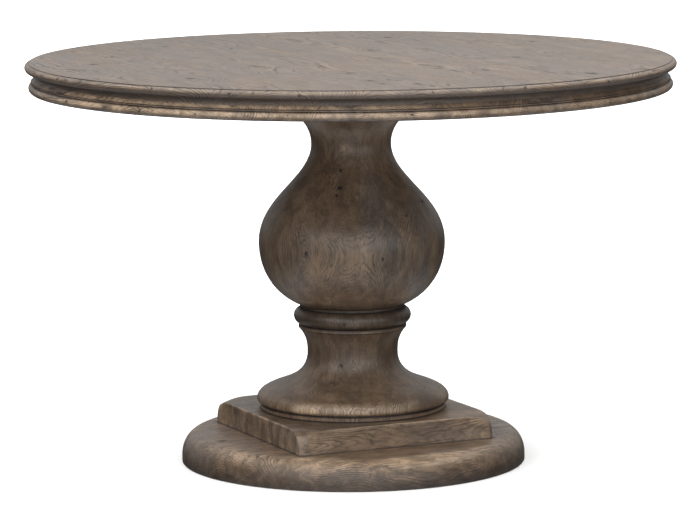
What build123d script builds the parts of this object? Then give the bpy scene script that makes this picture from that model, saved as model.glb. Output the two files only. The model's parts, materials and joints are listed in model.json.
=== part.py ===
from build123d import *
import os
from itertools import product
from math import cos, radians, sin, tan

# Round pedestal dining table in solid oak.  Lengths are millimetres.
#
# Frame: the origin is on the floor under the middle of the column and +Z points up.  The boards of
# the top run along Y.  The boards of the plinth and of the base run along X, and so do the battens.
# Every piece is a separate solid in a STEP file of its own; identical fasteners share one file.

# ---------------------------------------------------------------- overall size
TABLE_HEIGHT = 762.0
TOP_DIAMETER = 1219.2
TOP_THICKNESS = 55.0
BASE_DIAMETER = 650.0
BASE_THICKNESS = 55.0
PLINTH_SIDE = 398.0
PLINTH_THICKNESS = 44.5

# ---------------------------------------------------------------- levels
BASE_TOP = BASE_THICKNESS
PLINTH_TOP = BASE_TOP + PLINTH_THICKNESS
FOOT_TOP = 260.6
COLLAR_TOP = 293.0
COLUMN_TOP = 680.0
TOP_UNDERSIDE = TABLE_HEIGHT - TOP_THICKNESS

# ---------------------------------------------------------------- moulded edge of the top
TOP_RADIUS = TOP_DIAMETER / 2
UPPER_BEAD_REACH = 8.6
UPPER_BEAD_HALF_HEIGHT = 7.6
UPPER_BEAD_STEP = 1.2
LOWER_BEAD_REACH = 8.0
LOWER_BEAD_HALF_HEIGHT = 8.3
LOWER_BEAD_RADIUS = TOP_RADIUS - 6.7
QUIRK_HEIGHT = 0.8
FILLET_HEIGHT = 2.0
FILLET_RADIUS = TOP_RADIUS - 11.4
FILLET_QUIRK_DEPTH = 2.6
COVE_FOOT_RADIUS = TOP_RADIUS - 11.2
COVE_HEAD_RADIUS = TOP_RADIUS - 15.6
COVE_FOOT_PULL = (TOP_RADIUS - 22.6, 5.8)
COVE_HEAD_PULL = (TOP_RADIUS - 24.1, 2.6)

# ---------------------------------------------------------------- top: boards, rim, battens, block
PANEL_THICKNESS = 27.0
PANEL_UNDERSIDE = TABLE_HEIGHT - PANEL_THICKNESS
TOP_BOARD_COUNT = 8
TOP_BOARD_WIDTH = TOP_DIAMETER / TOP_BOARD_COUNT
RIM_SEGMENT_COUNT = 8
RIM_INNER_RADIUS = 520.0
BLOCK_THICKNESS = 24.0
BLOCK_UNDERSIDE = PANEL_UNDERSIDE - BLOCK_THICKNESS
BLOCK_SIDE = 400.0
BATTEN_LENGTH = 820.0
BATTEN_WIDTH = 80.0
BATTEN_OFFSET = 270.0
BATTEN_END_BEVEL = 14.0

# ---------------------------------------------------------------- head plate
HEAD_PLATE_SIDE = 380.0
HEAD_PLATE_BEVEL = 10.0
HEAD_PLATE_CORNER = 16.0

# ---------------------------------------------------------------- base disc
BASE_RADIUS = BASE_DIAMETER / 2
BASE_BOARD_COUNT = 5
BASE_BOARD_WIDTH = BASE_DIAMETER / BASE_BOARD_COUNT
BASE_WALL_HEIGHT = 12.0
BASE_ROUND_REACH = 31.0
BASE_EDGE_BREAK = 1.5

# ---------------------------------------------------------------- square plinth
PLINTH_BOARD_COUNT = 4
PLINTH_BOARD_WIDTH = PLINTH_SIDE / PLINTH_BOARD_COUNT
CORNER_CLIP_RADIUS = 275.5
CORNER_ROUND_REACH = 45.0
CORNER_FULLNESS = 0.78
PLINTH_ARRIS_RADIUS = 1.5

# ---------------------------------------------------------------- lower turning (the foot)
FOOT_RADIUS = 181.7
FOOT_WIDEST_HEIGHT = 118.6
FOOT_ROLL_REACH = 8.0
FOOT_ROLL_HEIGHT = 7.1
FOOT_FILLET_RADIUS = 174.5
FOOT_FILLET_TOP = 8.5
FOOT_QUIRK_HEIGHT = 2.2
FOOT_GROOVE_RADIUS = 171.5
FOOT_SHOULDER_PULL = 37.2
WAIST_RADIUS = 85.5
WAIST_HEIGHT = 208.0
WAIST_PULL = 67.6
WAIST_LIP_RADIUS = 102.1
WAIST_LIP_BOTTOM = 254.6
WAIST_LIP_TOP = 258.2
WAIST_LIP_PULL = (89.7, 240.6)
WAIST_FLARE_PULL = 20.0
WAIST_QUIRK_RADIUS = 98.5

# ---------------------------------------------------------------- collar ring
COLLAR_RADIUS = 110.9
COLLAR_REACH = 17.2

# ---------------------------------------------------------------- upper turning (bulb, neck and head)
BULB_FILLET_RADIUS = 96.5
BULB_FILLET_HEIGHT = 2.4
BULB_QUIRK_RADIUS = 94.0
BULB_QUIRK_TOP = 297.2
BULB_START = (98.0, 297.9)
BULB_START_PULL = (143.0, 315.3)
BULB_RADIUS = 175.8
BULB_WIDEST_HEIGHT = 416.8
BULB_LOWER_PULL = 59.5
BULB_UPPER_PULL = 84.5
NECK_RADIUS = 75.4
NECK_HEIGHT = 602.5
NECK_PULL = 65.5
HEAD_FLARE_REACH = 68.4
HEAD_FLARE_HEIGHT = 65.9
HEAD_LIP_RADIUS = 148.0

# ---------------------------------------------------------------- tie rod through the column
ROD_RADIUS = 8.0
ROD_HOLE_RADIUS = 9.0
ROD_NUT_ACROSS_FLATS = 24.0
ROD_NUT_HEIGHT = 13.0
ROD_WASHER_RADIUS = 20.0
ROD_WASHER_THICKNESS = 3.0
ROD_POCKET_RADIUS = 24.0
ROD_POCKET_DEPTH = 22.0
ROD_END_PROUD = 3.0

# ---------------------------------------------------------------- bolts between head plate and block
BOLT_OFFSET = 150.0
BOLT_RADIUS = 4.0
BOLT_HOLE_RADIUS = 4.5
BOLT_LENGTH = 50.0
BOLT_HEAD_ACROSS_FLATS = 13.0
BOLT_HEAD_HEIGHT = 5.3
BOLT_WASHER_RADIUS = 12.0
BOLT_WASHER_THICKNESS = 1.6
INSERT_RADIUS = 6.0
INSERT_LENGTH = 18.0
BOLT_HOLE_SPARE = 2.0

# ---------------------------------------------------------------- dowels between the turnings
DOWEL_RADIUS = 6.0
DOWEL_COUNT = 4
HEAD_DOWEL_CIRCLE = 55.0
HEAD_DOWEL_SPAN = (650.0, 700.0)
COLLAR_DOWEL_CIRCLE = 62.0
COLLAR_DOWEL_SPAN = (230.0, 322.0)
FOOT_DOWEL_CIRCLE = 110.0
FOOT_DOWEL_SPAN = (70.0, 130.0)
DOWEL_CHAMFER = 1.5

# ---------------------------------------------------------------- wood screws
FIT = 0.05
HOLE_SPARE = 1.0
SCREW_TIP = 2.5
DRIVE_WIDTH = 1.2
DRIVE_DEPTH = 1.5
SMALL_SCREW = {"head": 4.6, "shank": 2.25}
LARGE_SCREW = {"head": 6.0, "shank": 3.0}
RIM_SCREW_CIRCLE = 556.0
RIM_SCREW_HEAD_LEVEL = TOP_UNDERSIDE + 0.5
RIM_SCREW_TIP_LEVEL = 753.0
BLOCK_SCREW_COLUMNS = (-176.0, -76.2, 76.2, 176.0)
BLOCK_SCREW_ROWS = (-180.0, 0.0, 180.0)
BLOCK_SCREW_HEAD_LEVEL = BLOCK_UNDERSIDE + 0.5
BLOCK_SCREW_TIP_LEVEL = 753.0
BASE_SCREW_COLUMNS = (-140.0, 140.0)
BASE_SCREW_HEAD_LEVEL = 12.0
BASE_SCREW_TIP_LEVEL = 88.0
BASE_SCREW_POCKET_RADIUS = 8.0

# ---------------------------------------------------------------- slotted screws of the battens
SLOT_TRAVEL = 8.0
SLOT_POCKET_DEPTH = 6.0
SLOT_POCKET_RADIUS = 7.5
SLOT_RADIUS = 2.7
PAN_HEAD_RADIUS = 4.4
PAN_HEAD_HEIGHT = 3.0
BATTEN_WASHER_RADIUS = 6.8
BATTEN_WASHER_THICKNESS = 1.2
BATTEN_SCREW_TIP_LEVEL = 753.0

# ---------------------------------------------------------------- levelling feet
LEVELLER_CIRCLE = 285.0
LEVELLER_ANGLE = 50.0
LEVELLER_TRAVEL = 10.0
LEVELLER_POCKET_RADIUS = 24.0
LEVELLER_POCKET_DEPTH = 15.5
PAD_RADIUS = 19.0
PAD_WALL_TOP = 5.0
PAD_HEIGHT = 9.0
PAD_CROWN_RADIUS = 12.0
PAD_EDGE_BREAK = 1.0
SOCKET_RADIUS = 8.3
SOCKET_BOTTOM = 2.6
SOCKET_TOP = 6.2
STEM_FLANGE_RADIUS = 8.0
STEM_FLANGE_BOTTOM = 3.0
STEM_FLANGE_TOP = 5.8
STEM_NECK_RADIUS = 5.0
STEM_HEX_ACROSS_FLATS = 13.0
STEM_HEX_BOTTOM = 9.5
STEM_HEX_TOP = 13.0
STEM_RADIUS = 4.0
TEE_NUT_FLANGE_RADIUS = 11.0
TEE_NUT_FLANGE_THICKNESS = 1.5
TEE_NUT_BARREL_RADIUS = 5.5
TEE_NUT_BARREL_LENGTH = 11.5
TEE_NUT_TOP = LEVELLER_POCKET_DEPTH + TEE_NUT_BARREL_LENGTH
STEM_SPARE_THREAD = 1.0
STEM_TOP = TEE_NUT_TOP + LEVELLER_TRAVEL + STEM_SPARE_THREAD
STEM_HOLE_RADIUS = 4.6
STEM_HOLE_SPARE = 4.0

RIGHT_ANGLE = 90.0
FULL_TURN = 360.0
LEVELLER_NAMES = {
    (-1, -1): "front_left",
    (1, -1): "front_right",
    (-1, 1): "rear_left",
    (1, 1): "rear_right",
}


# ================================================================ helpers
def revolved(outline):
    """Solid turned about Z from a closed outline drawn as (radius, height)."""
    return revolve(Plane.XZ * make_face(outline), Axis.Z)


def cylinder(radius, bottom, top, x=0.0, y=0.0):
    """Upright cylinder between two levels."""
    return Pos(x, y, (bottom + top) / 2) * Cylinder(radius, top - bottom)


def slab(x_size, y_size, bottom, top, x=0.0, y=0.0):
    """Upright rectangular block between two levels."""
    return Pos(x, y, (bottom + top) / 2) * Box(x_size, y_size, top - bottom)


def hexagon(across_flats, bottom, top, x=0.0, y=0.0):
    """Upright hexagonal prism between two levels."""
    sketch = RegularPolygon(across_flats / 2, 6, major_radius=False)
    return Pos(x, y, bottom) * extrude(sketch, top - bottom)


def long_slot(radius, travel, bottom, top, x, y):
    """Round-ended slot along X between two levels."""
    middle = slab(travel, 2 * radius, bottom, top, x, y)
    left_end = cylinder(radius, bottom, top, x - travel / 2, y)
    right_end = cylinder(radius, bottom, top, x + travel / 2, y)
    return left_end + right_end + middle


def on_circle(radius, count, start=0.0):
    """Points evenly spaced round the axis."""
    angles = [radians(start + FULL_TURN * i / count) for i in range(count)]
    return [(radius * cos(a), radius * sin(a)) for a in angles]


def joined(solids):
    """Several separate solids held together as one piece of a file."""
    return Compound(children=[solid.solid() for solid in solids])


def screw_outline(head, shank, head_level, tip_level, spare):
    """Half outline of a countersunk screw standing head down, or of its hole when spare is above 0."""
    cone_top = head_level + (head - shank)
    return Polyline(
        (0, head_level),
        (head + spare, head_level),
        (shank + spare, cone_top),
        (shank + spare, tip_level - SCREW_TIP + spare),
        (0, tip_level + spare),
        close=True,
    )


def countersunk_screw(size, head_level, tip_level):
    """Countersunk wood screw driven upwards, with a cross recess in its head."""
    screw = revolved(screw_outline(size["head"], size["shank"], head_level, tip_level, 0.0))
    cross_size = size["head"]
    recess_top = head_level + DRIVE_DEPTH
    cross = slab(cross_size, DRIVE_WIDTH, head_level, recess_top)
    cross += slab(DRIVE_WIDTH, cross_size, head_level, recess_top)
    return screw - cross


def countersunk_hole(size, entry_level, head_level, tip_level):
    """Hole for a countersunk screw, open down to the entry level."""
    hole = revolved(screw_outline(size["head"], size["shank"], head_level, tip_level, FIT))
    return hole + cylinder(size["head"] + FIT, entry_level - HOLE_SPARE, head_level)


def dowels(circle, span):
    """Ring of wooden dowels with chamfered ends."""
    bottom, top = span
    outline = Polyline(
        (0, bottom),
        (DOWEL_RADIUS - DOWEL_CHAMFER, bottom),
        (DOWEL_RADIUS, bottom + DOWEL_CHAMFER),
        (DOWEL_RADIUS, top - DOWEL_CHAMFER),
        (DOWEL_RADIUS - DOWEL_CHAMFER, top),
        (0, top),
        close=True,
    )
    dowel = revolved(outline)
    return [Pos(x, y, 0) * dowel for x, y in on_circle(circle, DOWEL_COUNT, RIGHT_ANGLE / 2)]


def dowel_holes(circle, span):
    """Holes that the ring of dowels is glued into."""
    bottom, top = span
    places = on_circle(circle, DOWEL_COUNT, RIGHT_ANGLE / 2)
    return [cylinder(DOWEL_RADIUS + FIT, bottom - HOLE_SPARE, top + HOLE_SPARE, x, y) for x, y in places]


def leveller_places():
    """Name and centre of each levelling foot."""
    x = LEVELLER_CIRCLE * cos(radians(LEVELLER_ANGLE))
    y = LEVELLER_CIRCLE * sin(radians(LEVELLER_ANGLE))
    return {name: (sx * x, sy * y) for (sx, sy), name in LEVELLER_NAMES.items()}


# ================================================================ the round top
def moulded_disc():
    """The whole top with its edge moulding: bead, cove, fillet and second bead."""
    lower_centre = (LOWER_BEAD_RADIUS - LOWER_BEAD_REACH, TOP_UNDERSIDE + LOWER_BEAD_HALF_HEIGHT)
    lower_bead_top = TOP_UNDERSIDE + 2 * LOWER_BEAD_HALF_HEIGHT
    fillet_bottom = lower_bead_top + QUIRK_HEIGHT
    fillet_top = fillet_bottom + FILLET_HEIGHT
    cove_foot = fillet_top + QUIRK_HEIGHT
    upper_bead_top = TABLE_HEIGHT - UPPER_BEAD_STEP
    upper_bead_bottom = upper_bead_top - 2 * UPPER_BEAD_HALF_HEIGHT
    upper_centre = (TOP_RADIUS - UPPER_BEAD_REACH, upper_bead_top - UPPER_BEAD_HALF_HEIGHT)
    field_radius = TOP_RADIUS - UPPER_BEAD_REACH
    quirk_radius = FILLET_RADIUS - FILLET_QUIRK_DEPTH

    edge = Polyline((0, TOP_UNDERSIDE), (lower_centre[0], TOP_UNDERSIDE))
    edge += EllipticalCenterArc(
        lower_centre, LOWER_BEAD_REACH, LOWER_BEAD_HALF_HEIGHT, -RIGHT_ANGLE, arc_size=2 * RIGHT_ANGLE
    )
    edge += Polyline(
        (lower_centre[0], lower_bead_top),
        (lower_centre[0], fillet_bottom),
        (FILLET_RADIUS, fillet_bottom),
        (FILLET_RADIUS, fillet_top),
        (quirk_radius, fillet_top),
        (quirk_radius, cove_foot),
        (COVE_FOOT_RADIUS, cove_foot),
    )
    edge += Bezier(
        (COVE_FOOT_RADIUS, cove_foot),
        (COVE_FOOT_PULL[0], cove_foot + COVE_FOOT_PULL[1]),
        (COVE_HEAD_PULL[0], upper_bead_bottom - COVE_HEAD_PULL[1]),
        (COVE_HEAD_RADIUS, upper_bead_bottom),
    )
    edge += Polyline((COVE_HEAD_RADIUS, upper_bead_bottom), (field_radius, upper_bead_bottom))
    edge += EllipticalCenterArc(
        upper_centre, UPPER_BEAD_REACH, UPPER_BEAD_HALF_HEIGHT, -RIGHT_ANGLE, arc_size=2 * RIGHT_ANGLE
    )
    edge += Polyline(
        (field_radius, upper_bead_top),
        (field_radius, TABLE_HEIGHT),
        (0, TABLE_HEIGHT),
        (0, TOP_UNDERSIDE),
    )
    return revolved(edge)


def rim_screw_places():
    """Two screws in each segment of the rim, clear of the joints between segments."""
    return on_circle(RIM_SCREW_CIRCLE, 2 * RIM_SEGMENT_COUNT, FULL_TURN / (4 * RIM_SEGMENT_COUNT))


def block_screw_places():
    """Rows of screws that hold the mounting block to the four middle boards."""
    return list(product(BLOCK_SCREW_COLUMNS, BLOCK_SCREW_ROWS))


def batten_screw_columns():
    """One screw through each batten into every board that it crosses."""
    reach = BATTEN_LENGTH / 2
    middles = [TOP_BOARD_WIDTH * (i + 0.5 - TOP_BOARD_COUNT / 2) for i in range(TOP_BOARD_COUNT)]
    return [x for x in middles if abs(x) < reach]


def rim_screw_holes():
    hole = countersunk_hole(SMALL_SCREW, TOP_UNDERSIDE, RIM_SCREW_HEAD_LEVEL, RIM_SCREW_TIP_LEVEL)
    return [Pos(x, y, 0) * hole for x, y in rim_screw_places()]


def block_screw_holes():
    hole = countersunk_hole(SMALL_SCREW, BLOCK_UNDERSIDE, BLOCK_SCREW_HEAD_LEVEL, BLOCK_SCREW_TIP_LEVEL)
    return [Pos(x, y, 0) * hole for x, y in block_screw_places()]


def batten_pilot_holes():
    """Pilot holes of the batten screws in the boards."""
    places = product(batten_screw_columns(), (-BATTEN_OFFSET, BATTEN_OFFSET))
    radius = SMALL_SCREW["shank"] + FIT
    return [cylinder(radius, PANEL_UNDERSIDE, BATTEN_SCREW_TIP_LEVEL + FIT, x, y) for x, y in places]


def top_boards(disc):
    """Edge-glued boards that make the flat of the top and its upper bead."""
    panel = disc & slab(TOP_DIAMETER, TOP_DIAMETER, PANEL_UNDERSIDE, TABLE_HEIGHT)
    panel -= rim_screw_holes() + block_screw_holes() + batten_pilot_holes()
    boards = {}
    for i in range(TOP_BOARD_COUNT):
        middle = TOP_BOARD_WIDTH * (i + 0.5 - TOP_BOARD_COUNT / 2)
        strip = slab(TOP_BOARD_WIDTH, TOP_DIAMETER, PANEL_UNDERSIDE, TABLE_HEIGHT, middle)
        boards[f"top_board_{i + 1}"] = panel & strip
    return boards


def rim_segments(disc):
    """Mitred segments glued and screwed under the boards to thicken the edge."""
    step = FULL_TURN / RIM_SEGMENT_COUNT
    ring = disc & slab(TOP_DIAMETER, TOP_DIAMETER, TOP_UNDERSIDE, PANEL_UNDERSIDE)
    ring -= cylinder(RIM_INNER_RADIUS, TOP_UNDERSIDE - HOLE_SPARE, PANEL_UNDERSIDE + HOLE_SPARE)
    ring -= rim_screw_holes()
    reach = TOP_DIAMETER
    half_width = reach * tan(radians(step / 2))
    wedge_outline = make_face(Polyline((0, 0), (reach, -half_width), (reach, half_width), close=True))
    wedge = Pos(0, 0, TOP_UNDERSIDE) * extrude(wedge_outline, PANEL_UNDERSIDE - TOP_UNDERSIDE)
    segments = {}
    for i in range(RIM_SEGMENT_COUNT):
        segments[f"rim_segment_{i + 1}"] = ring & (Rot(0, 0, step * (i + 0.5)) * wedge)
    return segments


def batten(y):
    """Cross batten with slotted screw holes, so that the boards can move with the seasons."""
    half = BATTEN_LENGTH / 2
    outline = Polyline(
        (-half, PANEL_UNDERSIDE),
        (half, PANEL_UNDERSIDE),
        (half, PANEL_UNDERSIDE - BLOCK_THICKNESS / 2),
        (half - BATTEN_END_BEVEL, BLOCK_UNDERSIDE),
        (BATTEN_END_BEVEL - half, BLOCK_UNDERSIDE),
        (-half, PANEL_UNDERSIDE - BLOCK_THICKNESS / 2),
        close=True,
    )
    bar = extrude(Plane.XZ * make_face(outline), BATTEN_WIDTH / 2, both=True)
    bar = Pos(0, y, 0) * bar
    pocket_top = BLOCK_UNDERSIDE + SLOT_POCKET_DEPTH
    for x in batten_screw_columns():
        bar -= long_slot(SLOT_POCKET_RADIUS, SLOT_TRAVEL, BLOCK_UNDERSIDE, pocket_top, x, y)
        bar -= long_slot(SLOT_RADIUS, SLOT_TRAVEL, pocket_top, PANEL_UNDERSIDE, x, y)
    return bar


def mounting_block():
    """Square block under the middle of the top, which takes the threaded inserts."""
    block = slab(BLOCK_SIDE, BLOCK_SIDE, BLOCK_UNDERSIDE, PANEL_UNDERSIDE)
    block -= block_screw_holes()
    bolt_top = bolt_head_level() + BOLT_LENGTH + BOLT_HOLE_SPARE
    for x, y in bolt_places():
        block -= cylinder(INSERT_RADIUS + FIT, BLOCK_UNDERSIDE, BLOCK_UNDERSIDE + INSERT_LENGTH, x, y)
        block -= cylinder(BOLT_HOLE_RADIUS, BLOCK_UNDERSIDE, bolt_top, x, y)
    return block


def batten_screws():
    """Pan-head screws standing head down in the slots of both battens."""
    washer_bottom = BLOCK_UNDERSIDE + SLOT_POCKET_DEPTH - BATTEN_WASHER_THICKNESS
    head_bottom = washer_bottom - PAN_HEAD_HEIGHT
    shank = SMALL_SCREW["shank"]
    outline = Polyline(
        (0, head_bottom),
        (PAN_HEAD_RADIUS / 2, head_bottom),
        (PAN_HEAD_RADIUS, head_bottom + PAN_HEAD_HEIGHT / 2),
        (PAN_HEAD_RADIUS, washer_bottom),
        (shank, washer_bottom),
        (shank, BATTEN_SCREW_TIP_LEVEL - SCREW_TIP),
        (0, BATTEN_SCREW_TIP_LEVEL),
        close=True,
    )
    screw = revolved(outline)
    recess_top = head_bottom + DRIVE_DEPTH
    screw -= slab(PAN_HEAD_RADIUS, DRIVE_WIDTH, head_bottom, recess_top)
    screw -= slab(DRIVE_WIDTH, PAN_HEAD_RADIUS, head_bottom, recess_top)
    places = product(batten_screw_columns(), (-BATTEN_OFFSET, BATTEN_OFFSET))
    return [Pos(x, y, 0) * screw for x, y in places]


def batten_washers():
    """Washers that slide over the slots of the battens."""
    top = BLOCK_UNDERSIDE + SLOT_POCKET_DEPTH
    washer = cylinder(BATTEN_WASHER_RADIUS, top - BATTEN_WASHER_THICKNESS, top)
    washer -= cylinder(SMALL_SCREW["shank"] + FIT, top - BATTEN_WASHER_THICKNESS, top)
    places = product(batten_screw_columns(), (-BATTEN_OFFSET, BATTEN_OFFSET))
    return [Pos(x, y, 0) * washer for x, y in places]


# ================================================================ the joint between column and top
def bolt_places():
    """Corners of the square that the four top bolts stand on."""
    return list(product((-BOLT_OFFSET, BOLT_OFFSET), repeat=2))


def bolt_head_level():
    """Level of the underside of the bolt washers, against which the heads bear."""
    return COLUMN_TOP - BOLT_WASHER_THICKNESS


def head_plate():
    """Square plate on the column that carries the top."""
    side = HEAD_PLATE_SIDE
    outline = RectangleRounded(side, side, HEAD_PLATE_CORNER)
    plate = Pos(0, 0, COLUMN_TOP) * extrude(outline, BLOCK_UNDERSIDE - COLUMN_TOP)
    lower_edges = plate.edges().group_by(Axis.Z)[0]
    plate = chamfer(lower_edges, HEAD_PLATE_BEVEL)
    plate -= cylinder(ROD_POCKET_RADIUS, BLOCK_UNDERSIDE - ROD_POCKET_DEPTH, BLOCK_UNDERSIDE)
    plate -= cylinder(ROD_HOLE_RADIUS, COLUMN_TOP, BLOCK_UNDERSIDE)
    for x, y in bolt_places():
        plate -= cylinder(BOLT_HOLE_RADIUS, COLUMN_TOP, BLOCK_UNDERSIDE, x, y)
    plate -= dowel_holes(HEAD_DOWEL_CIRCLE, HEAD_DOWEL_SPAN)
    return plate


def top_bolts():
    """Hexagon-head bolts driven up through the head plate into the mounting block."""
    head_top = bolt_head_level()
    bolts = []
    for x, y in bolt_places():
        head = hexagon(BOLT_HEAD_ACROSS_FLATS, head_top - BOLT_HEAD_HEIGHT, head_top, x, y)
        bolts.append(head + cylinder(BOLT_RADIUS, head_top, head_top + BOLT_LENGTH, x, y))
    return bolts


def top_bolt_washers():
    washers = []
    for x, y in bolt_places():
        ring = cylinder(BOLT_WASHER_RADIUS, bolt_head_level(), COLUMN_TOP, x, y)
        washers.append(ring - cylinder(BOLT_RADIUS + FIT, bolt_head_level(), COLUMN_TOP, x, y))
    return washers


def threaded_inserts():
    """Threaded steel inserts in the mounting block, one for each bolt."""
    inserts = []
    for x, y in bolt_places():
        barrel = cylinder(INSERT_RADIUS, BLOCK_UNDERSIDE, BLOCK_UNDERSIDE + INSERT_LENGTH, x, y)
        bore = cylinder(BOLT_RADIUS + FIT, BLOCK_UNDERSIDE, BLOCK_UNDERSIDE + INSERT_LENGTH, x, y)
        inserts.append(barrel - bore)
    return inserts


# ================================================================ the turned column
def upper_turning():
    """Bulb, neck and flared head, turned from one laminated blank."""
    outline = Polyline(
        (ROD_HOLE_RADIUS, COLLAR_TOP),
        (BULB_FILLET_RADIUS, COLLAR_TOP),
        (BULB_FILLET_RADIUS, COLLAR_TOP + BULB_FILLET_HEIGHT),
        (BULB_QUIRK_RADIUS, COLLAR_TOP + BULB_FILLET_HEIGHT),
        (BULB_QUIRK_RADIUS, BULB_QUIRK_TOP),
        BULB_START,
    )
    widest = (BULB_RADIUS, BULB_WIDEST_HEIGHT)
    neck = (NECK_RADIUS, NECK_HEIGHT)
    outline += Bezier(
        BULB_START,
        BULB_START_PULL,
        (BULB_RADIUS, BULB_WIDEST_HEIGHT - BULB_LOWER_PULL),
        widest,
    )
    outline += Bezier(
        widest,
        (BULB_RADIUS, BULB_WIDEST_HEIGHT + BULB_UPPER_PULL),
        (NECK_RADIUS, NECK_HEIGHT - NECK_PULL),
        neck,
    )
    flare_centre = (NECK_RADIUS + HEAD_FLARE_REACH, NECK_HEIGHT)
    flare_top = NECK_HEIGHT + HEAD_FLARE_HEIGHT
    outline += EllipticalCenterArc(
        flare_centre, HEAD_FLARE_REACH, HEAD_FLARE_HEIGHT, 2 * RIGHT_ANGLE, arc_size=-RIGHT_ANGLE
    )
    outline += Polyline(
        (flare_centre[0], flare_top),
        (HEAD_LIP_RADIUS, flare_top),
        (HEAD_LIP_RADIUS, COLUMN_TOP),
        (ROD_HOLE_RADIUS, COLUMN_TOP),
        (ROD_HOLE_RADIUS, COLLAR_TOP),
    )
    turning = revolved(outline)
    turning -= dowel_holes(HEAD_DOWEL_CIRCLE, HEAD_DOWEL_SPAN)
    turning -= dowel_holes(COLLAR_DOWEL_CIRCLE, COLLAR_DOWEL_SPAN)
    return turning


def collar_ring():
    """Half-round ring between the bulb and the foot."""
    middle = (FOOT_TOP + COLLAR_TOP) / 2
    half_height = (COLLAR_TOP - FOOT_TOP) / 2
    inner = COLLAR_RADIUS - COLLAR_REACH
    outline = Polyline((ROD_HOLE_RADIUS, FOOT_TOP), (inner, FOOT_TOP))
    outline += EllipticalCenterArc(
        (inner, middle), COLLAR_REACH, half_height, -RIGHT_ANGLE, arc_size=2 * RIGHT_ANGLE
    )
    outline += Polyline(
        (inner, COLLAR_TOP),
        (ROD_HOLE_RADIUS, COLLAR_TOP),
        (ROD_HOLE_RADIUS, FOOT_TOP),
    )
    return revolved(outline) - dowel_holes(COLLAR_DOWEL_CIRCLE, COLLAR_DOWEL_SPAN)


def lower_turning():
    """Foot of the column: fillet, rolled edge, long hollow up to the waist, and a lip."""
    roll_centre = (FOOT_RADIUS - FOOT_ROLL_REACH, FOOT_WIDEST_HEIGHT)
    roll_bottom = FOOT_WIDEST_HEIGHT - FOOT_ROLL_HEIGHT
    fillet_bottom = PLINTH_TOP + FOOT_QUIRK_HEIGHT
    fillet_top = PLINTH_TOP + FOOT_FILLET_TOP
    outline = Polyline(
        (ROD_HOLE_RADIUS, PLINTH_TOP),
        (FOOT_GROOVE_RADIUS, PLINTH_TOP),
        (FOOT_GROOVE_RADIUS, fillet_bottom),
        (FOOT_FILLET_RADIUS, fillet_bottom),
        (FOOT_FILLET_RADIUS, fillet_top),
        (FOOT_GROOVE_RADIUS, fillet_top),
        (FOOT_GROOVE_RADIUS, roll_bottom),
        (roll_centre[0], roll_bottom),
    )
    outline += EllipticalCenterArc(
        roll_centre, FOOT_ROLL_REACH, FOOT_ROLL_HEIGHT, -RIGHT_ANGLE, arc_size=RIGHT_ANGLE
    )
    outline += Bezier(
        (FOOT_RADIUS, FOOT_WIDEST_HEIGHT),
        (FOOT_RADIUS, FOOT_WIDEST_HEIGHT + FOOT_SHOULDER_PULL),
        (WAIST_RADIUS, WAIST_HEIGHT - WAIST_PULL),
        (WAIST_RADIUS, WAIST_HEIGHT),
    )
    outline += Bezier(
        (WAIST_RADIUS, WAIST_HEIGHT),
        (WAIST_RADIUS, WAIST_HEIGHT + WAIST_FLARE_PULL),
        WAIST_LIP_PULL,
        (WAIST_LIP_RADIUS, WAIST_LIP_BOTTOM),
    )
    outline += Polyline(
        (WAIST_LIP_RADIUS, WAIST_LIP_BOTTOM),
        (WAIST_LIP_RADIUS, WAIST_LIP_TOP),
        (WAIST_QUIRK_RADIUS, WAIST_LIP_TOP),
        (WAIST_QUIRK_RADIUS, FOOT_TOP),
        (ROD_HOLE_RADIUS, FOOT_TOP),
        (ROD_HOLE_RADIUS, PLINTH_TOP),
    )
    turning = revolved(outline)
    turning -= dowel_holes(COLLAR_DOWEL_CIRCLE, COLLAR_DOWEL_SPAN)
    turning -= dowel_holes(FOOT_DOWEL_CIRCLE, FOOT_DOWEL_SPAN)
    return turning


# ================================================================ the plinth and the base
def base_screw_places():
    """Two screws into each board of the plinth."""
    middles = [PLINTH_BOARD_WIDTH * (i + 0.5 - PLINTH_BOARD_COUNT / 2) for i in range(PLINTH_BOARD_COUNT)]
    return list(product(BASE_SCREW_COLUMNS, middles))


def base_screw_holes():
    hole = countersunk_hole(LARGE_SCREW, BASE_SCREW_HEAD_LEVEL, BASE_SCREW_HEAD_LEVEL, BASE_SCREW_TIP_LEVEL)
    pocket = cylinder(BASE_SCREW_POCKET_RADIUS, -HOLE_SPARE, BASE_SCREW_HEAD_LEVEL)
    return [Pos(x, y, 0) * (hole + pocket) for x, y in base_screw_places()]


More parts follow.
